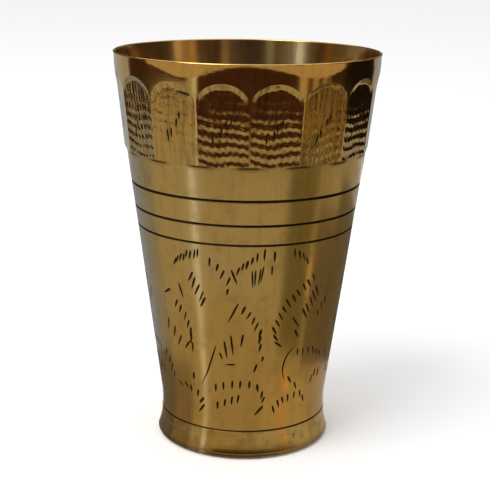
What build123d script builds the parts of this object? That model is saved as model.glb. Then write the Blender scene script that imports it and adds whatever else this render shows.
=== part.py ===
from build123d import *
import math
import os

# A brass drinking tumbler with a faceted band under the rim, in millimetres.
#
# A thin tapering wall runs from the rim to a half-lap just above the foot.  A turned foot ring carries
# the lap and a ledge.  A flat disc lies on the ledge and is the floor of the cup, held between the
# ledge and the end of the wall.  One bead of brazing alloy seals the disc inside the cup and another
# seals it underneath.
#
# +Z is up along the axis.  The origin is the centre of the circle on which the foot stands.
# All radii are outside radii unless a name says otherwise.

# Overall
height = 132.0
rim_diameter = 88.3             # before its edges are rounded
wall = 1.0                      # sheet thickness of the plain part
rim_wall = 0.95
rim_round = 0.42

# Faceted band under the rim, from the top down
plain_rim = 6.0                 # round strip above the arches
arch_rise = 7.0                 # arched run-out at the top of each facet
facet_straight = 19.0           # straight part of each facet, down to the step
facet_count = 16
ridge_land = 0.35               # strip of round surface left between neighbouring facets
band_slope = 0.112              # growth of radius with height
step_rise = 0.35                # height over which the step leans outwards
facet_lip = 0.05                # least overhang of the step, at the middle of a facet

# Turned rings on the plain wall: distance below the step, width and depth of each groove
ring_grooves = [(10.5, 0.90, 0.32), (18.5, 0.80, 0.28), (24.9, 0.70, 0.26)]

# Waist and foot
waist_diameter = 56.5
waist_height = 11.9
flare_radius = 40.0             # one arc through the waist, out to the foot and out to the wall
foot_height = 9.6               # seam between the wall and the foot ring
foot_corner = 1.5               # rounding where the foot turns under
foot_bore_chamfer = 0.3
seam_width = 0.6                # bevelled groove along the seam
seam_depth = 0.2

# Where the wall, the foot ring and the floor disc meet
floor_height = 6.5              # upper face of the disc
disc_thickness = 1.6
lap_thickness = 0.5             # the wall's tongue inside the foot ring
braze_gap = 0.05                # radial gap that the alloy runs into
ledge_width = 1.65              # support under the edge of the disc
floor_braze_leg = 1.2
foot_braze_leg = 0.8
centre_mark_diameter = 2.0      # lathe centre in the underside of the disc
centre_mark_depth = 0.5

# Places and radii that follow from the sizes above
rim_radius = rim_diameter / 2
rim_inside = rim_radius - rim_wall
arch_top = height - plain_rim
arch_foot = arch_top - arch_rise
band_foot = arch_foot - facet_straight
waist_radius = waist_diameter / 2
flare_centre = (waist_radius + flare_radius, waist_height)
disc_under = floor_height - disc_thickness


def band_radius(z):
    """Round surface of the band, from which the facets are cut."""
    return rim_radius - band_slope * (height - z)


def facet_radius(z):
    """Distance of a facet's middle line from the axis, so that only the ridge lands stay round."""
    half_angle = math.pi / facet_count - ridge_land / (2 * band_radius(z))
    return band_radius(z) * math.cos(half_angle)


def flare_surface(z, inset=0.0):
    """Radius of the waist arc at a height, or of the arc that lies inset mm inside it."""
    return flare_centre[0] - math.sqrt((flare_radius + inset) ** 2 - (z - flare_centre[1]) ** 2)


# The plain wall is a cone that touches the waist arc and ends just inside the middle of the facets.
cone_top = (facet_radius(band_foot) - facet_lip, band_foot)
centre_distance = math.dist(cone_top, flare_centre)
centre_bearing = math.atan2(flare_centre[1] - cone_top[1], flare_centre[0] - cone_top[0])
cone_bearing = centre_bearing - math.asin(flare_radius / centre_distance)
cone_length = math.sqrt(centre_distance**2 - flare_radius**2)
cone_foot = (
    cone_top[0] + cone_length * math.cos(cone_bearing),
    cone_top[1] + cone_length * math.sin(cone_bearing),
)
cone_tilt = math.atan2(cone_top[0] - cone_foot[0], cone_top[1] - cone_foot[1])
inner_foot = (cone_foot[0] - wall * math.cos(cone_tilt), cone_foot[1] + wall * math.sin(cone_tilt))
inner_top = (cone_top[0] - wall * math.cos(cone_tilt), cone_top[1] + wall * math.sin(cone_tilt))

# The half-lap above the foot: inside and outside of the wall's tongue, its seat and the ring's bore.
tongue_inside = flare_surface(foot_height, wall)
tongue_outside = tongue_inside + lap_thickness
seat_radius = tongue_outside + braze_gap
foot_bore_radius = seat_radius - ledge_width


def cone_radius(z):
    """Outer surface of the plain wall above the waist."""
    return cone_top[0] + math.tan(cone_tilt) * (z - cone_top[1])


def turned(outline):
    """A solid of revolution from a closed outline drawn as radius and height."""
    return revolve(Plane.XZ * make_face(outline), Axis.Z)


def waist_arc(low, high, inset=0.0):
    """The waist arc between two heights."""
    heights = (low, (low + high) / 2, high)
    return ThreePointArc(*[(flare_surface(z, inset), z) for z in heights])


def facet_cutter():
    """Grinds one facet: straight up from the step, then curving out to leave an arched top."""
    start = (facet_radius(band_foot - step_rise), band_foot - step_rise)
    bend = (facet_radius(arch_foot), arch_foot)
    out = (band_radius(arch_top), arch_top)
    runout = TangentArc(bend, out, tangent=(bend[0] - start[0], bend[1] - start[1]))
    leaving = runout % 1.0
    beyond = (out[0] + leaving.X * arch_rise, out[1] + leaving.Y * arch_rise)
    clear = rim_radius + arch_rise
    rest = Polyline(out, beyond, (clear, beyond[1]), (clear, start[1]), start, bend)
    profile = Plane.XZ * make_face(runout + rest)
    half_pitch = math.pi * rim_radius / facet_count
    return extrude(profile, 1.3 * half_pitch, both=True)


def groove_cutter(z, width, depth):
    """A V-shaped groove round the plain wall."""
    low, high = z - width / 2, z + width / 2
    outside = cone_radius(high) + wall
    root = (cone_radius(z) - depth, z)
    lips = ((cone_radius(low), low), (outside, low), (outside, high), (cone_radius(high), high))
    return turned(Polyline(root, *lips, root))


def body_wall():
    """The tapering wall, from the tongue in the foot ring to the rim."""
    seam_top = foot_height + seam_width / 2
    band_start = (band_radius(band_foot), band_foot + step_rise)
    outline = [
        waist_arc(seam_top, cone_foot[1]),
        Polyline(cone_foot, cone_top, band_start, (rim_radius, height), (rim_inside, height)),
        Polyline((rim_inside, height), inner_top, inner_foot),
        waist_arc(foot_height, inner_foot[1], wall),
        Polyline((tongue_inside, foot_height), (tongue_inside, floor_height)),
        Polyline((tongue_inside, floor_height), (tongue_outside, floor_height)),
        Polyline(
            (tongue_outside, floor_height),
            (tongue_outside, foot_height),
            (flare_surface(foot_height) - seam_depth, foot_height),
            (flare_surface(seam_top), seam_top),
        ),
    ]
    solid = turned(outline)
    rim_edges = solid.edges().filter_by_position(Axis.Z, height, height)
    solid = fillet(rim_edges, min(rim_round, 0.45 * rim_wall))
    for drop, width, depth in ring_grooves:
        solid -= groove_cutter(band_foot - drop, width, depth)
    cutter = facet_cutter()
    pitch = 360 / facet_count
    for n in range(facet_count):
        solid -= Rot(0, 0, (n + 0.5) * pitch) * cutter
    return solid


def foot_ring():
    """The turned ring on which the tumbler stands, with a seat for the tongue and the disc."""
    seam_foot = foot_height - seam_width / 2
    corner = (flare_surface(foot_corner), foot_corner)
    stand_outside = corner[0] - foot_corner
    stand_inside = foot_bore_radius + foot_bore_chamfer
    outline = [
        Polyline(
            (stand_outside, 0),
            (stand_inside, 0),
            (foot_bore_radius, foot_bore_chamfer),
            (foot_bore_radius, disc_under),
            (seat_radius, disc_under),
            (seat_radius, foot_height),
            (flare_surface(foot_height) - seam_depth, foot_height),
            (flare_surface(seam_foot), seam_foot),
        ),
        waist_arc(foot_corner, seam_foot),
        TangentArc((stand_outside, 0), corner, tangent=(1, 0)),
    ]
    return turned(outline)


def base_disc():
    """The floor of the cup, with the mark of the lathe centre underneath."""
    up_from_under = (Align.CENTER, Align.CENTER, Align.MIN)
    disc = Cylinder(tongue_outside, disc_thickness, align=up_from_under)
    mark = Cone(centre_mark_diameter / 2, 0, centre_mark_depth, align=up_from_under)
    return Pos(0, 0, disc_under) * (disc - mark)


def floor_braze():
    """Bead in the corner between the disc and the inside of the wall."""
    corner = (tongue_inside, floor_height)
    toe = (tongue_inside - floor_braze_leg, floor_height)
    top = (tongue_inside, floor_height + floor_braze_leg)
    return turned([Polyline(toe, corner, top), TangentArc(top, toe, tangent=(0, -1))])


def foot_braze():
    """Bead in the corner between the underside of the disc and the bore of the foot ring."""
    corner = (foot_bore_radius, disc_under)
    toe = (foot_bore_radius - foot_braze_leg, disc_under)
    low = (foot_bore_radius, disc_under - foot_braze_leg)
    return turned([Polyline(toe, corner, low), TangentArc(low, toe, tangent=(0, 1))])


os.makedirs("parts", exist_ok=True)
for sub_part in (body_wall, foot_ring, base_disc, floor_braze, foot_braze):
    export_step(sub_part(), f"parts/{sub_part.__name__}.step")
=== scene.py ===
import math

import bmesh
import bpy
import numpy as np
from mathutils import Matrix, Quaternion, Vector
from mathutils.geometry import delaunay_2d_cdt


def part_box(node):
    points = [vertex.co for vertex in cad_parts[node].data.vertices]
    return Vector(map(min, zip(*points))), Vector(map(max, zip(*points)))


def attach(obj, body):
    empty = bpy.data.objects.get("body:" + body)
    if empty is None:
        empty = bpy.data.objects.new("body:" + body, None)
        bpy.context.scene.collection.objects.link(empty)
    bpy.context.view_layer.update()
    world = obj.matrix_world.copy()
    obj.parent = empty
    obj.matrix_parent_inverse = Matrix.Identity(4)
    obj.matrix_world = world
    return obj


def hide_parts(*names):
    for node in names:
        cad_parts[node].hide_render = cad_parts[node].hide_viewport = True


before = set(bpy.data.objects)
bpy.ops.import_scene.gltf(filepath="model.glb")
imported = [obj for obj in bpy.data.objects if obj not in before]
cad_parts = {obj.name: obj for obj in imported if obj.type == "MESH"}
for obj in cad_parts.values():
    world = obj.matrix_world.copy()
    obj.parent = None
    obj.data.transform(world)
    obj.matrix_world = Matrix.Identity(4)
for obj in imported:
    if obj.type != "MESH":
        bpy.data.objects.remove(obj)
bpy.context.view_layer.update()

# ---- Foot ring -----------------------------------------------------------------------------------
# The ring on which the tumbler stands.  It is cast brass, turned all over on a lathe, with a ledge
# inside for the floor disc.  Its outside is the lower part of the waist curve.

mm = 0.001
seam_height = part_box("foot_ring")[1].z
disc_under, floor_height = (corner.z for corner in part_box("base_disc"))
waist_radius = 28.25 * mm
waist_height = 11.9 * mm
flare_radius = 40.0 * mm
foot_corner = 1.5 * mm
wall_thickness = 1.0 * mm
braze_gap = 0.05 * mm
ledge_width = 1.65 * mm
bore_chamfer = 0.3 * mm
seam_width = 0.6 * mm
seam_depth = 0.2 * mm
seam_foot = seam_height - seam_width / 2
foot_columns = 320
same_point = 1e-7  # points of a mesh that are no further apart than this are one, as at the axis


class Finish:
    """One value of a finish: a socket in a material's nodes that can be used in sums."""

    def __init__(self, tree, socket=None):
        self.tree = tree
        self.socket = socket

    def node(self, kind, settings=None, inputs=None, out=0):
        """Adds a node of any kind: first its settings, then the values or links of its sockets."""
        made = self.tree.nodes.new(kind)
        for name, value in (settings or {}).items():
            setattr(made, name, value)
        for name, value in (inputs or {}).items():
            if isinstance(value, Finish):
                self.tree.links.new(value.socket, made.inputs[name])
            else:
                made.inputs[name].default_value = value
        return Finish(self.tree, made.outputs[out] if made.outputs else None)

    def sum_of(self, operation, *values):
        return self.node("ShaderNodeMath", {"operation": operation}, dict(enumerate(values)))

    def __add__(self, other):
        return self.sum_of("ADD", self, other)

    __radd__ = __add__

    def __sub__(self, other):
        return self.sum_of("SUBTRACT", self, other)

    def __rsub__(self, other):
        return self.sum_of("SUBTRACT", other, self)

    def __mul__(self, other):
        return self.sum_of("MULTIPLY", self, other)

    __rmul__ = __mul__

    def between(self, low, high):
        """0 below low, 1 above high and smooth in between."""
        settings = {"interpolation_type": "SMOOTHSTEP"}
        return self.node("ShaderNodeMapRange", settings, {"Value": self, "From Min": low, "From Max": high})

    def stretched(self, x, y, z):
        """A place on the piece, stretched along each axis."""
        return self.node("ShaderNodeVectorMath", {"operation": "MULTIPLY"}, {0: self, 1: (x, y, z)})

    def blend(self, colour, other):
        """One colour where this value is 0 and the other where it is 1."""
        one, two = ((*c, 1.0) if isinstance(c, tuple) else c for c in (colour, other))
        sockets = {0: self, 6: one, 7: two}
        return self.node("ShaderNodeMix", {"data_type": "RGBA"}, sockets, out=2)

    def level(self):
        """Height of a place above the table."""
        return self.node("ShaderNodeSeparateXYZ", {}, {0: self}, out="Z")

    def grain(self, size, detail=2.0, roughness=0.5):
        """Noise over a place, in grains of about this size."""
        inputs = {"Vector": self, "Scale": 1 / size, "Detail": detail, "Roughness": roughness}
        return self.node("ShaderNodeTexNoise", {}, inputs)

    def bump(self, depth, before=None):
        """Raises the surface by up to depth where this value is 1."""
        inputs = {"Height": self, "Distance": depth, "Strength": 1.0}
        if before:
            inputs["Normal"] = before
        return self.node("ShaderNodeBump", {}, inputs)


def start_finish(name):
    """A new material with empty nodes, and the start of its finish: places on the piece."""
    material = bpy.data.materials.new(name)
    material.use_nodes = True
    material.node_tree.nodes.clear()
    place = Finish(material.node_tree).node("ShaderNodeTexCoord", out="Object")
    return material, place


lacquer = 0.15


def end_finish(place, colour, roughness, normal, coat=lacquer):
    """Joins a metal finish, under what is left of its lacquer, to the material's output."""
    inputs = {"Base Color": colour, "Metallic": 1.0, "Roughness": roughness, "Normal": normal}
    inputs |= {"Coat Weight": coat, "Coat Roughness": 0.12}
    shader = place.node("ShaderNodeBsdfPrincipled", {}, inputs)
    place.node("ShaderNodeOutputMaterial", {}, {"Surface": shader})


brass_bright = (0.74, 0.46, 0.140)
brass_warm = (0.71, 0.375, 0.078)
brass_dull = (0.34, 0.21, 0.08)
# Dark colour of soot in cuts, rings, the seam and small spots, also used as painted shade under the wall's
# step.
soot_and_painted_shade = (0.030, 0.017, 0.007)
# Colour of the painted shade along the bottom edge.
painted_bottom_shade = (0.15, 0.09, 0.035)


def turned_brass(name, lines, wear=0.40):
    """Brass as it leaves the lathe and years of washing: fine rings, dull patches and small spots, and
    painted shade that darkens the lowest few mm above the table.
    """
    material, place = start_finish(name)
    cloud = place.grain(14 * mm, 3.0, 0.6)
    spots = place.grain(1.6 * mm, 2.0).between(0.66, 0.74)
    worn = cloud.between(0.40, 0.66)
    colour = worn.blend(brass_warm, brass_bright)
    bands = place.stretched(0.1, 0.1, 1.0).grain(1.4 * mm, 2.0, 0.6).between(0.45, 0.70)
    colour = (0.3 * bands).blend(colour, brass_dull)
    colour = (wear * place.grain(3 * mm, 3.0).between(0.4, 0.75)).blend(colour, brass_dull)
    colour = (0.6 * spots).blend(colour, soot_and_painted_shade)
    # Painted shade: the lowest few mm are darkened to stand in for the table's contact shadow mirrored in
    # the foot's bottom edge.
    bottom_shade_mask = 1 - place.level().between(1.0 * mm, 3.4 * mm)
    colour = (0.7 * bottom_shade_mask).blend(colour, painted_bottom_shade)
    in_seam = place.level().between(seam_foot - 0.1 * mm, seam_foot + 0.1 * mm)
    colour = in_seam.blend(colour, soot_and_painted_shade)
    rings = place.stretched(0.02, 0.02, 1.0).grain(lines, 2.0, 0.7)
    scratches = place.stretched(1.0, 1.0, 0.1).grain(0.35 * mm, 2.0, 0.6)
    roughness = 0.10 + 0.08 * cloud + 0.15 * spots + 0.4 * in_seam
    normal = scratches.bump(0.003 * mm, rings.bump(0.004 * mm))
    end_finish(place, colour, roughness, normal, lacquer * (1 - in_seam))
    return material


def flare_at(height, inset=0.0):
    """Radius of the waist curve at a height, or of the curve that lies inset inside it."""
    rise = height - waist_height
    return waist_radius + flare_radius - math.sqrt((flare_radius + inset) ** 2 - rise**2)


def arc(centre, radius, start, end, steps):
    """Points of an arc in a turned outline, as radius and height, from one angle in degrees to another."""
    angles = np.radians(np.linspace(start, end, steps + 1))
    return [(centre[0] + radius * math.cos(a), centre[1] + radius * math.sin(a)) for a in angles]


def line(start, end, steps=1):
    """Points of a straight run in a turned outline, without its last point."""
    return [tuple(p) for p in np.linspace(start, end, steps + 1)[:-1]]


def points_round(radius, level, angles):
    """Points at a radius, height and angle about the axis, where an angle of 0 is the front."""
    return np.stack([radius * np.sin(angles), -radius * np.cos(angles), level + 0 * angles], axis=-1)


def turned(name, outline, columns, flip=False):
    """A mesh about the axis from an outline of radius and height, run anticlockwise unless flipped.

    A radius or height may also be a row of values, one for each column, where it varies round the axis.
    """
    angles = np.arange(columns) * 2 * math.pi / columns
    points = np.concatenate([points_round(radius, level, angles) for radius, level in outline])
    rows, cols = np.meshgrid(np.arange(len(outline)), np.arange(columns), indexing="ij")
    row_next, col_next = (rows + 1) % len(outline), (cols + 1) % columns
    corners = [(rows, cols), (rows, col_next), (row_next, col_next), (row_next, cols)]
    quads = np.stack([r * columns + c for r, c in corners], axis=-1).reshape(-1, 4)
    mesh = bpy.data.meshes.new(name)
    mesh.from_pydata(points.tolist(), [], (quads[:, ::-1] if flip else quads).tolist())
    shape = bmesh.new()
    shape.from_mesh(mesh)
    bmesh.ops.remove_doubles(shape, verts=shape.verts, dist=same_point)
    shape.to_mesh(mesh)
    shape.free()
    return mesh


def smoothed(mesh, angle=30):
    """Shades a mesh smooth, except along edges that turn by more than an angle in degrees."""
    mesh.polygons.foreach_set("use_smooth", [True] * len(mesh.polygons))
    mesh.set_sharp_from_angle(angle=math.radians(angle))
    return mesh


def finished(name, mesh, *materials, slot, stands_for):
    """Makes the piece from its mesh and materials, and ties it to the frame."""
    for material in materials:
        mesh.materials.append(material)
    piece = bpy.data.objects.new(name, mesh)
    bpy.context.scene.collection.objects.link(piece)
    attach(piece, "root")
    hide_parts(stands_for)


tongue_inside = flare_at(seam_height, wall_thickness)
tongue_outside = tongue_inside + 0.5 * mm
seat_radius = tongue_outside + braze_gap
bore_radius = seat_radius - ledge_width
stand_outside = flare_at(foot_corner) - foot_corner
flare_heights = np.linspace(foot_corner, seam_foot, 13)
foot_outline = [
    *line((stand_outside, 0), (bore_radius + bore_chamfer, 0), 3),
    *line((bore_radius + bore_chamfer, 0), (bore_radius, bore_chamfer)),
    *line((bore_radius, bore_chamfer), (bore_radius, disc_under), 8),
    *line((bore_radius, disc_under), (seat_radius, disc_under), 2),
    *line((seat_radius, disc_under), (seat_radius, seam_height), 4),
    *line((seat_radius, seam_height), (flare_at(seam_height) - seam_depth, seam_height)),
    *line((flare_at(seam_height) - seam_depth, seam_height), (flare_at(seam_foot), seam_foot), 2),
    *[(flare_at(h), h) for h in flare_heights[::-1]],
    *arc((stand_outside, foot_corner), foot_corner, 0, -90, 10)[1:-1],
]
foot_mesh = smoothed(turned("foot_ring_turned", foot_outline[::-1], foot_columns))
foot_brass = turned_brass("foot_brass", 0.4 * mm, 0.55)
finished("foot_ring_turned", foot_mesh, foot_brass, slot="foot_brass", stands_for="foot_ring")

# ---- Floor disc ----------------------------------------------------------------------------------
# The floor of the cup, a disc cut from thick brass sheet and faced on the lathe.  It lies on the
# ledge of the foot ring.  The centre mark underneath is where the tailstock held it.

mark_radius = 1.0 * mm
mark_depth = 0.5 * mm
facing_pitch = 1.6 * mm
facing_depth = 0.02 * mm
disc_border = 1.5 * mm
disc_columns = 192


def faced(start, end, height):
    """A faced surface of the disc, with the shallow waves that the cutting tool leaves."""
    steps = max(2, round(abs(end - start) / (facing_pitch / 6)))
    radii = np.linspace(start, end, steps + 1)[:-1]
    return [(r, height + facing_depth * math.sin(2 * math.pi * r / facing_pitch)) for r in radii]


disc_outline = [
    (0.0, disc_under + mark_depth),
    *faced(mark_radius, tongue_outside - disc_border, disc_under),
    (tongue_outside - disc_border, disc_under),
    (tongue_outside, disc_under),
    (tongue_outside, floor_height),
    (tongue_outside - disc_border, floor_height),
    *faced(tongue_outside - 2.0 * mm, 0.4 * mm, floor_height),
    (0.0, floor_height),
]
disc_mesh = smoothed(turned("base_disc_faced", disc_outline, disc_columns))
disc_brass = turned_brass("disc_brass", 0.5 * mm)
finished("base_disc_faced", disc_mesh, disc_brass, slot="disc_brass", stands_for="base_disc")

# ---- Wall ----------------------------------------------------------------------------------------
# The tapering brass wall.  It was spun thin, its lower end turned down to a tongue that sits in the
# foot ring.  Its facets were ground with a wheel, and its leaves and rings were cut by hand.

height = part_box("body_wall")[1].z
rim_radius = 44.15 * mm
rim_wall = 0.95 * mm
rim_round = 0.42 * mm
plain_rim = 6.0 * mm
arch_rise = 7.0 * mm
facet_straight = 19.0 * mm
facet_count = 16
ridge_land = 0.35 * mm
band_slope = 0.112
step_rise = 0.35 * mm
facet_lip = 0.05 * mm
# Each turned ring: how far it is below the band, its width and its depth, in mm.
ring_grooves = [(10.5, 1.05, 0.34), (18.5, 0.95, 0.30), (24.9, 0.85, 0.26)]

arch_top = height - plain_rim
arch_foot = arch_top - arch_rise
band_foot = arch_foot - facet_straight
facet_pitch = 2 * math.pi / facet_count
flare_centre = (waist_radius + flare_radius, waist_height)
seam_top = seam_height + seam_width / 2
hand = np.random.default_rng(7)  # the unsteadiness of the hand that ground and cut it


def band_at(z):
    """Round surface of the band, from which the facets are ground."""
    return rim_radius - band_slope * (height - z)


def facet_flat(z):
    """Distance of a facet's flat from the axis."""
    return band_at(z) * np.cos(facet_pitch / 2 - ridge_land / (2 * band_at(z)))


# The plain wall is a cone that touches the waist curve and ends just inside the step.
cone_top = (float(facet_flat(band_foot)) - facet_lip, band_foot)
centre_distance = math.dist(cone_top, flare_centre)
centre_bearing = math.atan2(flare_centre[1] - cone_top[1], flare_centre[0] - cone_top[0])
cone_bearing = centre_bearing - math.asin(flare_radius / centre_distance)
cone_length = math.sqrt(centre_distance**2 - flare_radius**2)
cone_foot = (
    cone_top[0] + cone_length * math.cos(cone_bearing),
    cone_top[1] + cone_length * math.sin(cone_bearing),
)
cone_slope = (cone_top[0] - cone_foot[0]) / (cone_top[1] - cone_foot[1])
cone_tilt = math.atan(cone_slope)
step_slope = (band_at(band_foot) - cone_top[0]) / step_rise


def groove_at(z):
    """How sooty the turned rings are at a height, and how deep in metres."""
    share, depth = np.zeros_like(z), np.zeros_like(z)
    for drop, width, full in ring_grooves:
        off = np.abs(z - (band_foot - drop * mm)) / (width * mm / 2)
        cut = np.where(off < 1, 0.5 + 0.5 * np.cos(math.pi * np.minimum(off, 1)), 0)
        share = np.maximum(share, np.clip((1.1 - off) / 0.4, 0, 1))
        depth = np.maximum(depth, cut * full * mm)
    return share, depth


def plain_surface(angle, z):
    """Outside of the plain wall: the waist curve, the cone and the turned rings, not quite true."""
    rise = np.minimum(z, cone_foot[1]) - waist_height
    below = waist_radius + flare_radius - np.sqrt(flare_radius**2 - rise**2)
    radius = np.where(z < cone_foot[1], below, cone_top[0] + cone_slope * (z - cone_top[1]))
    sway = np.sin(3 * angle + z / (13 * mm)) + np.sin(5 * angle - z / (9 * mm) + 1.0)
    sway = sway + 0.7 * np.sin(2 * angle + z / (6 * mm) + 2.0) + 0.5 * np.sin(9 * angle + z / (17 * mm))
    ease = np.clip((z - seam_top) / (8 * mm), 0, 1) * np.clip((band_foot - z) / (6 * mm), 0, 1)
    return radius + 0.018 * mm * sway * ease - groove_at(z)[1]


def step_surface(angle, z):
    """Underside of the step at the foot of the band."""
    return cone_top[0] + step_slope * (z - band_foot) + 0 * angle


burnish_slope = 0.085


def band_surface(angle, z):
    """Round part of the band, with its uneven strip under the rim."""
    rise = np.clip((z - arch_foot) / (height - arch_foot), 0, 1)
    sway = np.sin(facet_count * angle + 0.6) + 0.8 * np.sin(5 * angle + 0.4) + 0.6 * np.sin(9 * angle + 2)
    strip = (2.7 - 1.9 * np.cos(7 * angle) + 0.3 * np.sin(12 * angle + 1)) * mm
    above = z - (height - strip)
    burnished = 0.5 * (above + np.sqrt(above**2 + (0.4 * mm) ** 2))
    return band_at(z) + 0.010 * mm * sway * rise - burnish_slope * burnished


ripple_pitch = 2.93 * mm
ripple_depth = 0.030 * mm
facet_sink = hand.normal(0, 0.02, facet_count) * mm
facet_lean = hand.normal(0, 0.004, facet_count)
facet_phase = hand.normal(0, 0.5, facet_count)
facet_tilt = hand.normal(0, 0.8, facet_count) * mm
# How strongly each facet is rippled.
chatter = np.array([1.0, 0.6, 1.1, 0.8, 1.0, 0.7, 1.1, 0.9, 0.6, 1.0, 0.8, 1.1, 0.7, 1.2, 0.45, 1.0])
lift_start = hand.uniform(0.72, 0.82, facet_count)


def facet_surface(angle, z):
    """A ground facet: flat across, run out at the top, and rippled where the wheel chattered."""
    turn = angle / facet_pitch
    number = np.floor(turn).astype(int) % facet_count
    across = turn - np.floor(turn) - 0.5
    scallop = 0.55 * mm * (2 * across) ** 2 + 0.25 * mm * np.sin(9 * across + facet_phase[number])
    scallop = scallop + facet_tilt[number] * across
    drift = 0.30 * mm * np.sin(z / (4.1 * mm) + 3 * facet_phase[number] + 5 * across)
    drift = drift + 0.20 * mm * np.sin(47 * across + 2.3 * number + z / (1.9 * mm))
    wave = np.sin(2 * math.pi * (z - scallop - drift - band_foot + 0.2 * mm) / ripple_pitch)
    patchy = np.sin(33 * across + 1.7 * number + z / (2.3 * mm)) * np.sin(21 * across - z / (1.7 * mm))
    uneven = 1 + 0.7 * patchy
    calm = np.clip((z - (band_foot + 13 * mm)) / (6 * mm), 0, 1)
    ripple = ripple_depth * chatter[number] * wave * uneven * (1 - 0.85 * calm)
    lean = facet_lean[number] * across * facet_pitch * band_at(z)
    ground_flat = (facet_flat(z) + facet_sink[number] + lean) / np.cos(across * facet_pitch) + ripple
    # At its sides and its arch the wheel was lifted away, so the flat turns up into the round band.
    rise = np.maximum(z - arch_foot, 0) / arch_rise
    reach = np.hypot(2 * across, rise)
    start = lift_start[number] + 0.02 * np.sin(17 * across + 2 * number) + 0.12 * (2 * across) ** 2
    lift = np.maximum((reach - start) / (1 - start), 0) ** 1.5
    return ground_flat + np.maximum(band_surface(angle, z) - ground_flat, 0) * lift


# The leaves: each row of cuts follows a path of (angle in degrees, height in mm), with the number of
# cuts, their length in mm, how far their tops lean to the right, in degrees, at its two ends, and
# their width in mm if it isn't the usual one.
leaf_rows = [
    ([(-39, 67.5), (-32, 70.3), (-24.3, 71.4)], 8, 3.0, 28, 8),
    ([(-18.2, 69.5), (-13.8, 67.6), (-8.8, 63.0)], 4, 3.2, 8, 26),
    ([(-9.3, 59.5)], 1, 2.4, 15, 15),
    ([(-5.0, 64.3)], 1, 4.6, -20, -20),
    ([(-3.2, 66.5), (1.5, 69.0), (6.5, 71.2)], 5, 3.0, 20, 8),
    ([(10.2, 72.0), (15.3, 71.4)], 2, 3.6, 2, 0),
    ([(4.1, 63.7), (9.4, 65.2)], 4, 5.2, 0, 3, 0.65),
    ([(13.8, 66.5)], 1, 3.6, 3, 3),
    ([(26, 72.4), (30, 71.2), (34, 69.0)], 4, 3.0, -5, -22),
    ([(-29.7, 63.2), (-26.2, 59.3), (-22.3, 55.0)], 5, 4.2, 22, 32),
    ([(-36.5, 57.7)], 1, 4.6, -16, -16),
    ([(-47.7, 56.3)], 1, 3.6, 62, 62),
    ([(-41.4, 53.0), (-34.7, 48.2), (-32.0, 43.0), (-31.8, 38.4)], 7, 3.4, 26, 3),
    ([(-50.5, 44.5), (-45.3, 42.3), (-40.5, 39.2), (-35.6, 39.0)], 4, 4.2, 12, 34),
    ([(-0.2, 53.2), (5.0, 49.7), (9.3, 45.0), (9.9, 40.0)], 7, 3.0, 26, 10),
    ([(11.4, 35.8)], 1, 2.0, 10, 10),
    ([(7.1, 32.5)], 1, 2.8, 24, 24),
    ([(-13.5, 36.5)], 1, 3.0, -20, -20),
    ([(-10.5, 39.2), (-7.3, 41.0)], 2, 6.8, -10, -6),
    ([(-0.9, 42.8)], 1, 5.0, 6, 6),
    ([(-8.2, 33.7)], 1, 2.9, 88, 88),
    ([(40.0, 62.9), (33.7, 59.3), (26.8, 55.8), (21.2, 51.5), (18.0, 46.0)], 10, 3.2, -30, -28),
    ([(18.9, 43.2), (20.9, 40.8)], 2, 3.2, -36, -52),
    ([(44.0, 57.6), (41.2, 55.0), (36.6, 50.6)], 5, 4.6, -26, -32, 1.0),
    ([(31.2, 47.4)], 1, 5.2, -36, -36, 1.1),
    ([(32.2, 43.6)], 1, 3.4, -36, -36, 1.0),
    ([(47.3, 49.6), (49.7, 52.0), (53.0, 53.0)], 3, 2.8, -24, -10),
    ([(34.5, 36.6), (41.5, 36.6), (48.0, 36.0), (55.0, 34.0)], 6, 3.0, -4, -24),
    ([(30.5, 27.2), (35.5, 24.6)], 2, 3.2, -26, -14),
    ([(-17.5, 25.0), (-7.7, 26.6), (4.1, 26.5)], 5, 2.9, 4, 2),
    ([(9.5, 25.2), (12.4, 23.4), (13.5, 20.6)], 3, 2.8, -8, 22),
    ([(10.5, 17.0)], 1, 3.8, 40, 40),
    ([(-16.5, 18.4), (-9.0, 20.4), (-2.7, 21.3)], 4, 3.0, 4, 14),
    ([(-44.0, 24.0), (-38.2, 23.7), (-31.0, 21.8), (-28.0, 19.4)], 5, 2.7, -60, 38),
    ([(-28.4, 16.2)], 1, 3.6, 40, 40),
    ([(-32.7, 27.6)], 1, 2.8, 8, 8),
    ([(20.9, 17.2), (23.7, 18.8), (26.5, 20.0)], 3, 3.0, -20, -14),
    ([(30.5, 20.4), (35.0, 20.8), (40.0, 20.6), (44.0, 19.0)], 4, 2.9, -4, -12),
    ([(-57, 33.0), (-53, 30.0), (-50.5, 26.0)], 4, 3.0, 30, 12),
    ([(49.0, 25.0), (53.0, 27.0), (57.0, 26.4)], 3, 3.0, 10, 2),
]
# The stems: long cuts drawn freely through a few points of the same kind, with their width in mm.
stems = [
    ([(-3.0, 55.6), (-5.6, 52.6), (-9.1, 48.4)], 0.85),
    ([(-16.2, 40.4), (-19.4, 35.2), (-22.6, 30.2), (-27.5, 25.2)], 0.66),
    ([(31.2, 38.8), (27.2, 36.6), (25.0, 33.4), (24.9, 30.2), (27.2, 26.8)], 0.7),
]
leaf_groups = 3
leaf_turn = -1.25  # where the middle of the first group lies, in degrees from the front
cut_width = 0.95 * mm
cut_depth = 0.24 * mm
cut_stretch = 1.08
cuts = []  # each cut is a line of (angle, height) points, its width and its depth


def cut_shape(t):
    """Width of a cut along its length, as a share of the tool's: it starts blunt and ends thin."""
    return np.clip(t, 0, 1) ** 0.4 * np.clip(1 - t, 0, 1) ** 0.65 / 0.586


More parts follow.
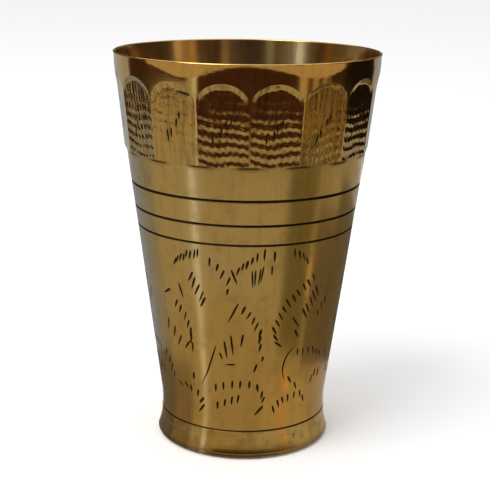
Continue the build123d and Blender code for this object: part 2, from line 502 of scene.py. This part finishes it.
def surface_at(angle, z):
    """Outside of the wall before it was engraved."""
    band = np.minimum(np.minimum(step_surface(angle, z), band_surface(angle, z)), facet_surface(angle, z))
    return np.where(z < band_foot, plain_surface(angle, z), band)


def engrave(line_of_cut, width, depth):
    """Adds a cut, within half a turn of the front, unless it would cross the line at the very back."""
    line_of_cut = np.array(line_of_cut)
    line_of_cut[:, 0] -= 2 * math.pi * round(line_of_cut[:, 0].mean() / (2 * math.pi))
    if np.abs(line_of_cut[:, 0]).max() < math.pi - 0.03:
        cuts.append((line_of_cut, width, depth))


def stroke(angle, z, length, lean, width, depth):
    """One straight cut about a point, leaning by so many degrees."""
    radius = float(surface_at(np.array(angle), np.array(z)))
    reach = np.array([0.5, -0.5]) * length
    tilt = math.radians(lean)
    engrave([(angle + r * math.sin(tilt) / radius, z + r * math.cos(tilt)) for r in reach], width, depth)


def row_places(path, count):
    """Evenly spaced places along a path."""
    path = np.array(path, float)
    if len(path) == 1:
        return path
    spans = np.hypot(*(np.diff(path, axis=0) * (0.6, 1.0)).T)
    along = np.concatenate([[0], np.cumsum(spans)])
    wanted = np.linspace(0, along[-1], count)
    return np.stack([np.interp(wanted, along, path[:, k]) for k in (0, 1)], axis=1)


for group in range(leaf_groups):
    middle = leaf_turn + group * 360 / leaf_groups
    for path, count, length, lean_first, lean_last, *own_width in leaf_rows:
        leans = np.linspace(lean_first, lean_last, count)
        for place, lean in zip(row_places(path, count), leans):
            angle = math.radians(middle + place[0] + hand.normal(0, 0.25))
            size = cut_stretch * length * (1 + hand.normal(0, 0.08)) * mm
            width = (own_width[0] * mm if own_width else cut_width) * (1 + hand.normal(0, 0.12))
            at = (place[1] + hand.normal(0, 0.2)) * mm
            stroke(angle, at, size, lean + hand.normal(0, 3), width, cut_depth)
    for path, width in stems:
        engrave([(math.radians(middle + a), z * mm) for a, z in path], width * mm, cut_depth)

# A short chain of cuts goes down each facet from the right to the left, each longer than the last.
chain_cuts = 4
chain_right = 3.4
chain_height = 14.6
chain_length = 2.6
chain_width = 0.85 * mm
chain_depth = 0.20 * mm
for number in range(facet_count):
    middle = (number + 0.5) * facet_pitch
    for step in range(chain_cuts):
        angle = middle + math.radians(chain_right - 2.3 * step + hand.normal(0, 0.5))
        at = band_foot + (chain_height - 2.1 * step + hand.normal(0, 0.6)) * mm
        length = (chain_length + 0.5 * step) * mm
        stroke(angle, at, length, hand.normal(2, 5), chain_width, chain_depth)

# One facet has a nick where a tool slipped.
nick_angle = math.radians(-28.5)
nick_height = arch_foot + 3.6 * mm
stroke(nick_angle, nick_height, 5.6 * mm, lean=99, width=1.2 * mm, depth=0.22 * mm)

spread = 36.0  # the wall's outside is unrolled to mm, as if it were a cylinder of this radius in mm


def unrolled(line_of_cut):
    """A cut's points on the unrolled wall, how much narrower the wall is there than when unrolled, the
    cut's length in mm, and how far along it each point is."""
    flat_line = line_of_cut * (spread, 1 / mm)
    squeeze = surface_at(line_of_cut[:, 0], line_of_cut[:, 1]).mean() / mm / spread
    spans = np.hypot(*np.diff(flat_line * (squeeze, 1), axis=0).T)
    along = np.concatenate([[0], np.cumsum(spans)]) / spans.sum()
    return flat_line, squeeze, spans.sum(), along


pieces_of_cut = []
for line_of_cut, width, depth in cuts:
    flat_line, squeeze, _, along = unrolled(line_of_cut)
    shape_of_cut = (width / mm / 2, depth, squeeze)
    for k in range(len(flat_line) - 1):
        pieces_of_cut.append((*flat_line[k], *flat_line[k + 1], along[k], along[k + 1], *shape_of_cut))


def cut_at(points, spare=0.0):
    """Depth of the engraving at unrolled points, and whether each is within spare mm of a cut."""
    depth = np.zeros(len(points))
    near = np.zeros(len(points), bool)
    for ax, az, bx, bz, t0, t1, half, full, squeeze in pieces_of_cut:
        reach = math.hypot((bx - ax) * squeeze, bz - az) / 2 + half + spare + 0.1
        off = (points - ((ax + bx) / 2, (az + bz) / 2)) * (squeeze, 1)
        close = np.nonzero((np.abs(off) < reach).all(axis=1))[0]
        if not len(close):
            continue
        start = (points[close] - (ax, az)) * (squeeze, 1)
        run = np.array([(bx - ax) * squeeze, bz - az])
        share = np.clip(start @ run / (run @ run), 0, 1)
        apart = np.hypot(*(start - share[:, None] * run).T)
        room = half * cut_shape(t0 + share * (t1 - t0))
        near[close] |= apart < np.maximum(room, 0.3 * half) + spare
        inside = np.where(room > 1e-4, 1 - apart / np.maximum(room, 1e-4), 0)
        here = full * np.clip(inside, 0, 1) * np.minimum(room / half * 1.3, 1)
        depth[close] = np.maximum(depth[close], here)
    return depth, near


net = []    # unrolled points of the wall's outside
edges = []  # pairs of them that an edge of the mesh must join


def add_points(points, joined=False, closed=False):
    """Adds points to the net, joined in a line or a loop if asked."""
    first = len(net)
    net.extend(map(tuple, points))
    if joined:
        edges.extend((first + k, first + k + 1) for k in range(len(points) - 1))
    if closed:
        edges.append((first + len(points) - 1, first))


# Boat-shaped outline and keel of every cut.
cut_stations = 6
station_gap = 0.8
for line_of_cut, width, depth in cuts:
    flat_line, squeeze, length, along = unrolled(line_of_cut)
    true_line = flat_line * (squeeze, 1)
    stations = max(cut_stations, round(length / station_gap))
    share = 0.5 - 0.5 * np.cos(np.linspace(0, math.pi, stations + 1))
    keel = np.stack([np.interp(share, along, true_line[:, k]) for k in (0, 1)], axis=1)
    way = np.gradient(keel, axis=0)
    way /= np.hypot(*way.T)[:, None]
    side = np.stack([-way[:, 1], way[:, 0]], axis=1) * (cut_shape(share) * width / mm / 2)[:, None]
    left, right = keel + side, keel - side
    outline = np.concatenate([keel[:1], left[1:-1], keel[-1:], right[-2:0:-1]]) / (squeeze, 1)
    add_points(outline, joined=True, closed=True)
    add_points(keel[1:-1] / (squeeze, 1), joined=True)

# Rows of points over the plain wall, closer together across each turned ring.
half_turn = math.pi * spread
band_columns = 24 * facet_count
ring_columns = 300
plain_columns = 240
plain_row_gap = 1.2 * mm
grid = []  # loose points, of which those in or beside a cut are left out


def row_round(z, columns, stagger=0.0):
    """A row of unrolled points round the wall, short of the line where it was unrolled."""
    x = (np.arange(columns) + stagger) / columns * 2 * half_turn - half_turn
    x = x[np.abs(x) < half_turn - 0.2]
    return np.stack([x, np.full(len(x), z / mm)], axis=1)


band_top = height - rim_round
for z in (seam_top, band_foot, band_top):
    row = row_round(z, band_columns)
    add_points([(-half_turn, z / mm), *row, (half_turn, z / mm)], joined=True)
ring_heights = [band_foot - drop * mm for drop, width, depth in ring_grooves]
plain_rows = [z for z in np.arange(seam_top + 1.0 * mm, band_foot - 0.5 * mm, plain_row_gap)
              if min(abs(z - h) for h in ring_heights) > 1.0 * mm]
for n, z in enumerate(plain_rows):
    grid.append(row_round(z, plain_columns, stagger=0.5 * (n % 2)))
for drop in (0.25, 0.55):  # two close rows under the step
    grid.append(row_round(band_foot - drop * mm, band_columns))
ring_rows = [z + off * width * mm for z, (_, width, _) in zip(ring_heights, ring_grooves)
             for off in np.linspace(-0.66, 0.66, 17)]
for z in ring_rows:
    grid.append(row_round(z, ring_columns))

# Rows over the band.  Each facet's outline is where its ground flat meets the round of the band.
facet_row_gap = 0.37 * mm
arch_rows = 18
facet_rows = np.concatenate([
    np.arange(band_foot + step_rise, arch_foot, facet_row_gap),
    arch_top - arch_rise * np.linspace(1, 0.06, arch_rows) ** 2,
])
halvings = 24


def facet_half(middle, side):
    """Half the angle that a facet takes up at each row, on one side of its middle, found by halving."""
    inner = np.zeros_like(facet_rows)
    outer = np.full_like(facet_rows, facet_pitch / 2 - 0.2 * ridge_land / rim_radius)
    for _ in range(halvings):
        half = (inner + outer) / 2
        angle = middle + side * half
        sunk = facet_surface(angle, facet_rows) < band_surface(angle, facet_rows)
        inner, outer = np.where(sunk, half, inner), np.where(sunk, outer, half)
    return inner


for number in range(-facet_count // 2, facet_count // 2):
    middle = (number + 0.5) * facet_pitch
    left, right = facet_half(middle, -1), facet_half(middle, 1)
    foot_angles = middle + np.concatenate([[-left[0]], np.linspace(-1, 1, 23)[1:-1] * left[0], [right[0]]])
    foot_rise = (facet_surface(foot_angles, band_foot + 0 * foot_angles) - cone_top[0]) / step_slope
    foot_rise[[0, -1]] = step_rise
    foot_line = np.stack([foot_angles * spread, (band_foot + foot_rise) / mm], axis=1)
    left_side = np.stack([(middle - left) * spread, facet_rows / mm], axis=1)
    right_side = np.stack([(middle + right) * spread, facet_rows / mm], axis=1)
    crown = [(middle * spread, facet_rows[-1] / mm + 0.03)]
    loop = np.concatenate([foot_line, right_side[1:], crown, left_side[:0:-1]])
    add_points(loop, joined=True, closed=True)
    for z, low, high in zip(facet_rows[1:], left[1:], right[1:]):
        columns = max(2, round((low + high) * rim_radius / (0.60 * mm)))
        x = (middle + np.linspace(-low, high, columns + 1)[1:-1]) * spread
        grid.append(np.stack([x, np.full(len(x), z / mm)], axis=1))
rim_columns = 320
rim_row_gap = 0.8 * mm
for z in np.arange(arch_foot + rim_row_gap, band_top - 0.3 * mm, rim_row_gap):
    row = row_round(z, rim_columns, stagger=0.5)
    angle, level = row[:, 0] / spread, np.full(len(row), z)
    clear = facet_surface(angle, level) > band_surface(angle, level) + 0.03 * mm
    grid.append(row[clear | (z > arch_top)])
grid = np.concatenate(grid)
add_points(grid[~cut_at(grid, 0.2)[1]])
band_rows = np.arange(band_foot + step_rise, band_top - 0.4 * mm, 0.6 * mm)
side_heights = np.concatenate([plain_rows, ring_rows, band_rows])
for side in (-half_turn, half_turn):
    add_points([(side, z / mm) for z in side_heights])

net_points = [Vector(p) for p in net]
corners, _, triangles, _, _, _ = delaunay_2d_cdt(net_points, edges, [], 0, 1e-5, False)
flat = np.array([tuple(p) for p in corners], float)
triangles = np.array(triangles)

# The points on one side of the unrolled wall are those on its other side.
on_left = np.nonzero(np.abs(flat[:, 0] + half_turn) < 1e-3)[0]
on_right = np.nonzero(np.abs(flat[:, 0] - half_turn) < 1e-3)[0]
on_left, on_right = (side[np.argsort(flat[side, 1])] for side in (on_left, on_right))
same = np.arange(len(flat))
same[on_right] = on_left


def row_of(z):
    """Numbers of the points in a joined row, in order round the wall."""
    found = np.nonzero(np.abs(flat[:, 1] - z / mm) < 1e-3)[0]
    return found[np.argsort(flat[found, 0])][:-1]


top_row, bottom_row = row_of(band_top), row_of(seam_top)

# The rim, the inside and the tongue are turned: their outline goes over the rim and down.
inner_foot = (cone_foot[0] - wall_thickness * math.cos(cone_tilt),
              cone_foot[1] + wall_thickness * math.sin(cone_tilt))
inner_top = (cone_top[0] - wall_thickness * math.cos(cone_tilt),
             cone_top[1] + wall_thickness * math.sin(cone_tilt))
rim_outside = float(band_surface(np.array(0.0), np.array(band_top)))
rim_inside = rim_radius - rim_wall
inner_waist = np.linspace(inner_foot[1], seam_height, 9)
inside_outline = np.array([
    *arc((rim_outside - rim_round, band_top), rim_round, 8, 90, 7),
    *arc((rim_inside + rim_round, band_top), rim_round, 90, 180, 7),
    *line((rim_inside, band_top), inner_top, 6)[1:],
    *line(inner_top, inner_foot, 14),
    *[(flare_at(h, wall_thickness), h) for h in inner_waist],
    *line((tongue_inside, seam_height), (tongue_inside, floor_height), 4)[1:],
    *line((tongue_inside, floor_height), (tongue_outside, floor_height), 2),
    *line((tongue_outside, floor_height), (tongue_outside, seam_height), 3),
    *line((tongue_outside, seam_height), (flare_at(seam_height) - seam_depth, seam_height)),
    (flare_at(seam_height) - seam_depth, seam_height),
])
round_angles = flat[top_row, 0] / spread

# Everything is put in place, and each triangle of the outside is told apart by where its middle lies.
angle, level = flat[:, 0] / spread, flat[:, 1] * mm
engraved = cut_at(flat)[0]
radius = surface_at(angle, level) - engraved
outside = points_round(radius, level, angle)
inside = points_round(inside_outline[:, :1], inside_outline[:, 1:], round_angles).reshape(-1, 3)
columns = len(top_row)
inside_rows = len(flat) + np.arange(len(inside_outline) * columns).reshape(-1, columns)
inside_rows = np.concatenate([[same[top_row]], inside_rows, [same[bottom_row]]])
upper, lower = inside_rows[:-1], inside_rows[1:]
quads = np.stack([upper, np.roll(upper, -1, axis=1), np.roll(lower, -1, axis=1), lower], axis=-1)
quads = quads.reshape(-1, 4)
wall_mesh = bpy.data.meshes.new("body_wall_engraved")
wall_mesh.from_pydata(np.concatenate([outside, inside]).tolist(), [],
                      same[triangles].tolist() + quads.tolist())
smoothed(wall_mesh)

middle = flat[triangles].mean(axis=1)
mid_angle, mid_level = middle[:, 0] / spread, middle[:, 1] * mm
kinds = np.stack([step_surface(mid_angle, mid_level), band_surface(mid_angle, mid_level),
                  facet_surface(mid_angle, mid_level)]).argmin(axis=0) + 1
kinds[mid_level < band_foot] = 0
in_cut = cut_at(middle)[0] > 1e-6


def true_normals(surface, angle, z):
    """Directions in which a surface given as a radius faces."""
    small = 1e-4
    around = (surface(angle + small, z) - surface(angle - small, z)) / (2 * small)
    upward = (surface(angle, z + small * mm) - surface(angle, z - small * mm)) / (2 * small * mm)
    sine, cosine = np.sin(angle), np.cos(angle)
    slope = around / surface(angle, z)
    facing = np.stack([sine - slope * cosine, -cosine - slope * sine, -upward], axis=-1)
    return facing / np.linalg.norm(facing, axis=-1, keepdims=True)


normals = np.zeros((len(wall_mesh.loops), 3), np.float32)
wall_mesh.corner_normals.foreach_get("vector", normals.ravel())
outer_loops = normals[: 3 * len(triangles)].reshape(-1, 3, 3)
surfaces = (plain_surface, step_surface, band_surface, facet_surface)
for kind, surface in enumerate(surfaces):
    chosen = np.nonzero((kinds == kind) & ~in_cut)[0]
    outer_loops[chosen] = true_normals(surface, angle[triangles[chosen]], level[triangles[chosen]])
corner_places = np.concatenate([outside, inside])[same[triangles[in_cut]]]
faces_out = np.cross(corner_places[:, 1] - corner_places[:, 0], corner_places[:, 2] - corner_places[:, 0])
faces_out /= np.linalg.norm(faces_out, axis=1, keepdims=True) + 1e-20
outer_loops[in_cut] = faces_out[:, None, :]
wall_mesh.normals_split_custom_set(normals.tolist())

# Soot and old polish sit in every cut and in the turned rings; under the step the same dark colour is
# painted shade.
full_cut = np.minimum(engraved / (0.8 * cut_depth), 1)
ring_share = groove_at(level)[0]
soot_and_shade_level = np.zeros(len(wall_mesh.loops), np.float32)
corner_soot_and_shade = soot_and_shade_level[: 3 * len(triangles)].reshape(-1, 3)
# Painted shade: just below the step the wall is darkened, most where the band overhangs most.
overhang = surface_at(angle, np.full_like(angle, band_foot + step_rise)) - cone_top[0]
step_shade_band = np.clip(1 - (band_foot - level) / (0.7 * mm), 0, 1) * (level < band_foot + step_rise)
painted_step_shade = step_shade_band * np.clip(overhang / (0.45 * mm), 0, 1) ** 2
corner_soot_and_shade[:] = np.maximum(ring_share, 0.9 * painted_step_shade)[triangles]
# Painted shade: the underside of the step is darkened all over.
corner_soot_and_shade[kinds == 1] = 0.85
corner_soot_and_shade[in_cut] = (0.85 + 0.15 * full_cut)[triangles[in_cut]]
seam_corners = 4 * columns  # the last row of quads is the bevel at the seam
soot_and_shade_level[-seam_corners:] = 1
ground_level = np.zeros(len(wall_mesh.loops), np.float32)
ground_level[: 3 * len(triangles)].reshape(-1, 3)[kinds == 3] = 1
wall_mesh.attributes.new("soot_and_painted_shade", "FLOAT", "CORNER").data.foreach_set("value", soot_and_shade_level)
wall_mesh.attributes.new("ground", "FLOAT", "CORNER").data.foreach_set("value", ground_level)

filed_dark = (0.22, 0.115, 0.035)
inside_pale = (0.76, 0.56, 0.26)
inside_brown = (0.62, 0.41, 0.16)
drink_stain = (0.30, 0.17, 0.055)


def wall_outside_brass():
    """Burnished brass, more orange low down, with dull clouds, file marks on the facets, dark cuts and
    painted shade under the step.
    """
    material, place = start_finish("wall_outside_brass")
    soot_and_shade_here = place.node("ShaderNodeAttribute", {"attribute_name": "soot_and_painted_shade"}, out="Fac")
    ground = place.node("ShaderNodeAttribute", {"attribute_name": "ground"}, out="Fac")
    level = place.level()
    cloud = place.grain(24 * mm, 3.0, 0.6)
    patches = place.grain(6 * mm, 4.0, 0.65).between(0.48, 0.80)
    spots = place.grain(1.1 * mm, 2.0).between(0.66, 0.76)
    low = 1 - level.between(0.12 * height, 0.62 * height)
    warm = 0.75 * low + 0.35 * cloud.between(0.38, 0.66)
    colour = warm.blend(brass_bright, brass_warm)
    filed = place.stretched(1.0, 1.0, 0.05).grain(1.3 * mm, 2.0, 0.5)
    streaked = place.stretched(1.0, 1.0, 0.12).grain(2.2 * mm, 3.0, 0.6).between(0.45, 0.75)
    colour = (0.40 * patches + 0.22 * streaked).blend(colour, brass_dull)
    colour = (0.50 * ground * filed.between(0.44, 0.72)).blend(colour, filed_dark)
    colour = (0.30 * spots).blend(colour, soot_and_painted_shade)
    # Soot in the cuts, rings and seam, and painted shade under the step, from the attribute.
    colour = soot_and_shade_here.blend(colour, soot_and_painted_shade)
    dimples = place.grain(1.4 * mm, 2.0)
    polish = place.stretched(0.03, 0.03, 1.0).grain(0.5 * mm, 2.0, 0.6)
    rubbed = place.stretched(1.0, 1.0, 0.2).grain(0.8 * mm, 3.0, 0.6)
    marks = ground * (2.2 * filed + 0.7 * dimples) + (1 - ground) * (0.07 * polish + 0.10 * rubbed)
    in_band = level.between(band_foot - 0.5 * mm, band_foot)
    roughness = 0.17 + 0.06 * cloud + 0.35 * soot_and_shade_here - 0.09 * in_band + 0.06 * patches
    end_finish(place, colour, roughness, marks.bump(0.06 * mm), lacquer * (1 - soot_and_shade_here))
    return material


def wall_inside_brass():
    """The unpolished inside: browner, with streaks where drink ran down and rings from the lathe."""
    material, place = start_finish("wall_inside_brass")
    cloud = place.grain(20 * mm, 3.0, 0.6)
    streaks = place.stretched(1.0, 1.0, 0.04).grain(7 * mm, 3.0, 0.5)
    colour = cloud.between(0.35, 0.7).blend(inside_pale, inside_brown)
    colour = (0.7 * streaks.between(0.50, 0.68)).blend(colour, drink_stain)
    rings = place.stretched(0.02, 0.02, 1.0).grain(0.6 * mm, 2.0, 0.7)
    roughness = 0.12 + 0.08 * cloud
    normal = streaks.bump(0.02 * mm, rings.bump(0.006 * mm))
    end_finish(place, colour, roughness, normal)
    return material


wall_brasses = (wall_outside_brass(), wall_inside_brass())
finished("body_wall_engraved", wall_mesh, *wall_brasses, slot="wall_brass", stands_for="body_wall")
rim_rows = 15  # rows of the inside that go over the rim, which is burnished like the outside
of_inside = np.zeros(len(wall_mesh.polygons), int)
of_inside[len(triangles) + rim_rows * columns: -columns] = 1
wall_mesh.polygons.foreach_set("material_index", of_inside)

# ---- Beads of brazing alloy ----------------------------------------------------------------------
# Two rings of brazing alloy that ran into the corners when the foot was heated: one seals the floor
# disc inside the cup, the other holds it underneath.  They were left as they set, a little uneven.

floor_bead_leg = 1.2 * mm
foot_bead_leg = 0.8 * mm
bead_columns = 240
flux_dark = (0.20, 0.14, 0.08)
alloy_pale = (0.62, 0.50, 0.30)


def bead(name, corner_radius, corner_height, leg, upward):
    """A bead in the corner at a radius and height, whose hollow face swells and thins on its way round."""
    angles = np.arange(bead_columns) * 2 * math.pi / bead_columns
    swell = 1 - 0.10 * (1 + np.sin(7 * angles) * np.sin(3 * angles + 1)) - 0.05 * np.sin(23 * angles)
    bend = np.radians(np.linspace(0, 90, 9))
    in_face = 1 - np.sin(bend)
    up_face = 1 - np.cos(bend)
    fuller = 0.22 * np.sin(2 * bend)
    outline = [(corner_radius, corner_height)]
    for inward, up, extra in zip(in_face, up_face, fuller):
        lump = extra * (0.5 + 0.5 * np.sin(11 * angles + 2) * np.sin(5 * angles))
        radius = corner_radius - leg * np.clip((inward + lump) * swell, 0, 1)
        level = corner_height + upward * leg * np.clip((up + lump) * swell, 0, 1)
        outline.append((radius, level))
    return smoothed(turned(name, outline, bead_columns, flip=upward > 0), 40)


def bead_alloy():
    """Brazing alloy as it set: paler than the brass, frosted, with dark flux in its hollows."""
    material, place = start_finish("bead_alloy")
    crust = place.grain(1.2 * mm, 4.0, 0.65)
    colour = crust.between(0.35, 0.65).blend(flux_dark, alloy_pale)
    end_finish(place, colour, 0.32 + 0.25 * crust, crust.bump(0.03 * mm))
    return material


bead_finish = bead_alloy()
floor_bead = bead("floor_braze_bead", tongue_inside, floor_height, floor_bead_leg, 1)
finished("floor_braze_bead", floor_bead, bead_finish, slot="braze_alloy", stands_for="floor_braze")
foot_bead = bead("foot_braze_bead", bore_radius, disc_under, foot_bead_leg, -1)
finished("foot_braze_bead", foot_bead, bead_finish, slot="braze_alloy", stands_for="foot_braze")

# ---- Table, light and camera ---------------------------------------------------------------------
# The tumbler stands on a plain pale table in soft white light, seen from a little above its rim.
# Cards that only its polished brass sees stand for the wooden room beyond the table; one dark card by the
# foot is a painted shadow.

scene = bpy.context.scene
scene.view_settings.view_transform = "Standard"
table_material, table_place = start_finish("pale_table")
table_shader = table_place.node("ShaderNodeBsdfPrincipled", {}, {
    "Base Color": (0.93, 0.93, 0.93, 1.0), "Roughness": 1.0, "Specular IOR Level": 0.0,
})
table_place.node("ShaderNodeOutputMaterial", {}, {"Surface": table_shader})
table_mesh = bpy.data.meshes.new("table")
table_reach = 8.0
table_corners = [(table_reach * x, table_reach * y, 0) for x, y in ((-1, -1), (1, -1), (1, 1), (-1, 1))]
table_mesh.from_pydata(table_corners, [], [(0, 1, 2, 3)])
table_mesh.materials.append(table_material)
table = bpy.data.objects.new("table", table_mesh)
scene.collection.objects.link(table)

turned_left = math.radians(1.25)  # how far the camera stands round to the left
mirror_turn = 2.12                # a card lies at about twice the angle of the wall that mirrors it
mirror_offset = 0.0145            # and less near the wall, which is this far forward of the axis
card_columns = 13
card_rows = 9


def card(name, seen, reaches, levels, colour):
    """A card that only reflections see, between the two angles of the wall that mirror it."""
    across = np.radians(np.linspace(*seen, card_columns) * mirror_turn)
    away = np.geomspace(*reaches, card_rows)
    reach, turn = np.meshgrid(away, across, indexing="ij")
    points = points_round(reach, np.interp(reach, reaches, levels), turn * (1 - mirror_offset / reach))
    first = (np.arange(card_rows - 1)[:, None] * card_columns + np.arange(card_columns - 1)).ravel()
    faces = np.stack([first, first + card_columns, first + card_columns + 1, first + 1], axis=1)
    mesh = bpy.data.meshes.new(name)
    mesh.from_pydata(points.reshape(-1, 3).tolist(), [], faces.tolist())
    material, place = start_finish(name)
    glow = place.node("ShaderNodeEmission", {}, {"Color": (*colour, 1.0), "Strength": 1.0})
    place.node("ShaderNodeOutputMaterial", {}, {"Surface": glow})
    mesh.materials.append(material)
    made = bpy.data.objects.new(name, mesh)
    scene.collection.objects.link(made)
    made.rotation_euler.z = -turned_left
    for ray in ("camera", "diffuse", "shadow", "transmission", "volume_scatter"):
        setattr(made, "visible_" + ray, False)


far = 3.0
card_gap = 0.05 * mm
cards = [  # the wall's angles, the reach and the colour of each; a later card lies over an earlier one
    ((-85, 85), (0.0285, 0.42), (0.39, 0.39, 0.35)),
    ((-22, 13), (0.0285, 0.050), (0.34, 0.33, 0.29)),
    ((13, 50), (0.0285, 0.066), (0.45, 0.46, 0.41)),
    # Painted shadow: a dark card just by the foot stands in for the table's contact shadow that the foot's
    # edge mirrors.
    ((-20, 22), (0.0305, 0.0350), (0.08, 0.06, 0.03)),
    ((-85, -50), (0.031, 0.45), (0.30, 0.33, 0.36)),
    ((-85, -56), (0.031, 0.45), (0.27, 0.33, 0.43)),
    ((-85, -36), (0.0295, 0.078), (0.23, 0.22, 0.20)),
    ((-85, -54), (0.0295, 0.085), (0.15, 0.15, 0.14)),
    ((38, 85), (0.075, 0.235), (0.15, 0.135, 0.11)),
    ((52, 85), (0.085, 0.30), (0.135, 0.125, 0.09)),
    ((20.5, 36), (0.085, 0.32), (0.155, 0.155, 0.09)),
    ((36.3, 37.3), (0.13, 0.165), (1.6, 1.1, 0.6)),
    ((24, 29), (0.0295, 0.072), (0.54, 0.42, 0.30)),
    ((27.8, 30.2), (0.0595, 0.0665), (1.0, 0.68, 0.34)),
    ((-27.3, -23.7), (0.0295, 0.32), (0.62, 0.74, 1.05)),
    ((-26.0, -24.8), (0.06, 0.32), (0.90, 1.15, 1.90)),
    ((-45, 43), (0.65, far), (0.50, 0.42, 0.30)),
    ((-43.5, -22.5), (0.32, 0.65), (0.40, 0.36, 0.28)),
    ((-46, -24.5), (0.44, 0.60), (0.06, 0.03, 0.02)),
    ((-22.5, -20.5), (0.32, 0.65), (0.70, 0.74, 0.72)),
    ((-20.5, 21), (0.275, 0.65), (0.24, 0.18, 0.13)),
    ((-20.5, 21), (0.30, 0.65), (0.12, 0.075, 0.05)),
    ((-20.5, 21), (0.325, 0.65), (0.048, 0.019, 0.015)),
    ((21, 24.5), (0.32, 0.65), (0.50, 0.42, 0.28)),
    ((24.5, 27), (0.32, 0.65), (0.10, 0.06, 0.04)),
    ((27, 29.5), (0.32, 0.65), (0.40, 0.32, 0.20)),
    ((29.5, 31.5), (0.32, 0.65), (0.09, 0.06, 0.03)),
    ((31.5, 33.2), (0.32, 0.65), (0.36, 0.29, 0.17)),
    ((33.2, 34.6), (0.32, 0.65), (0.12, 0.08, 0.04)),
    ((34.6, 36), (0.32, 0.65), (0.30, 0.24, 0.14)),
    ((36, 38), (0.32, 0.65), (0.10, 0.06, 0.03)),
    ((38, 43), (0.32, 0.65), (0.20, 0.12, 0.06)),
    ((35, 43), (0.44, 0.65), (0.03, 0.016, 0.01)),
    ((-56.8, -43.5), (0.42, far), (0.05, 0.026, 0.018)),
    ((40.5, 43), (0.65, far), (0.05, 0.03, 0.02)),
    ((43, 65), (0.40, far), (0.012, 0.008, 0.006)),
    ((-85, -56.8), (0.42, far), (0.40, 0.43, 0.44)),
    ((65, 85), (0.42, far), (0.34, 0.36, 0.38)),
]
for number, (seen, reaches, colour) in enumerate(cards):
    level = (number + 1) * card_gap
    card(f"card_{number}", seen, reaches, (level, level), colour)
# The room's walls, which the foot mirrors where it flares out.
lean_out = 0.01  # an upright card leans out by this much, because each of its rows has its own reach
low_wall = (0, 0.45)
card("wall_left", (-85, -18), (far, far + lean_out), low_wall, (0.24, 0.19, 0.12))
card("wall_front", (-18, 60), (far, far + lean_out), low_wall, (0.045, 0.028, 0.012))
card("wall_right", (60, 85), (far, far + lean_out), low_wall, (0.28, 0.24, 0.17))
# Higher up, the inside of the cup mirrors the shelves and windows of the same room.
high_wall = (0.32, 2.0)
room_gap = 0.02
room_depth = 0.25  # how far in front of the full circle the other cards begin, so that none is hidden
room = [  # the directions from and to, in degrees, and the colour of each
    (-180, 180, (0.085, 0.062, 0.045)),
    (-150, -104, (0.17, 0.15, 0.14)),
    (-85, -75, (0.20, 0.09, 0.04)),
    (-60, -38, (0.20, 0.20, 0.20)),
    (-54, -46, (0.85, 0.95, 1.10)),
    (-37, -31, (0.16, 0.12, 0.09)),
    (-25, -18, (0.24, 0.23, 0.20)),
    (-14, 4, (0.04, 0.028, 0.028)),
    (18, 25, (0.26, 0.19, 0.12)),
    (50, 57, (0.50, 0.30, 0.10)),
    (58, 65, (0.28, 0.20, 0.11)),
    (65, 73, (0.60, 0.44, 0.22)),
    (78, 104, (0.05, 0.03, 0.02)),
    (108, 140, (0.15, 0.11, 0.08)),
    (150, 158, (0.60, 0.56, 0.50)),
]
for number, (first, last, colour) in enumerate(room):
    seen = (first / mirror_turn, last / mirror_turn)
    reach = far - room_depth - room_gap * number if number else far - room_gap
    card(f"room_{number}", seen, (reach, reach + lean_out), high_wall, colour)

light_data = bpy.data.lights.new("soft_key", "AREA")
light_data.shape = "RECTANGLE"
light_data.size = 0.9
light_data.size_y = 0.9
light_data.energy = 12
light = bpy.data.objects.new("soft_key", light_data)
scene.collection.objects.link(light)
light.location = (-0.7, -0.6, 1.3)
light.rotation_euler = (Vector((0, 0, 0.05)) - light.location).to_track_quat("-Z", "Y").to_euler()
world = bpy.data.worlds.new("studio")
scene.world = world
world.use_nodes = True
world.node_tree.nodes["Background"].inputs["Color"].default_value = (1.0, 1.0, 1.0, 1.0)
world.node_tree.nodes["Background"].inputs["Strength"].default_value = 0.95

camera_data = bpy.data.cameras.new("camera")
camera_data.lens = 88
camera = bpy.data.objects.new("camera", camera_data)
scene.collection.objects.link(camera)
tipped = 0.014
camera_away = 3.0009 * height
camera_above = 1.2808 * height
camera.location = (-camera_away * math.sin(turned_left), -camera_away * math.cos(turned_left), camera_above)
aim = (Vector((0, 0, 0.5 * height)) - camera.location).to_track_quat("-Z", "Y")
camera.rotation_euler = (aim @ Quaternion((0, 0, 1), tipped)).to_euler()
scene.camera = camera
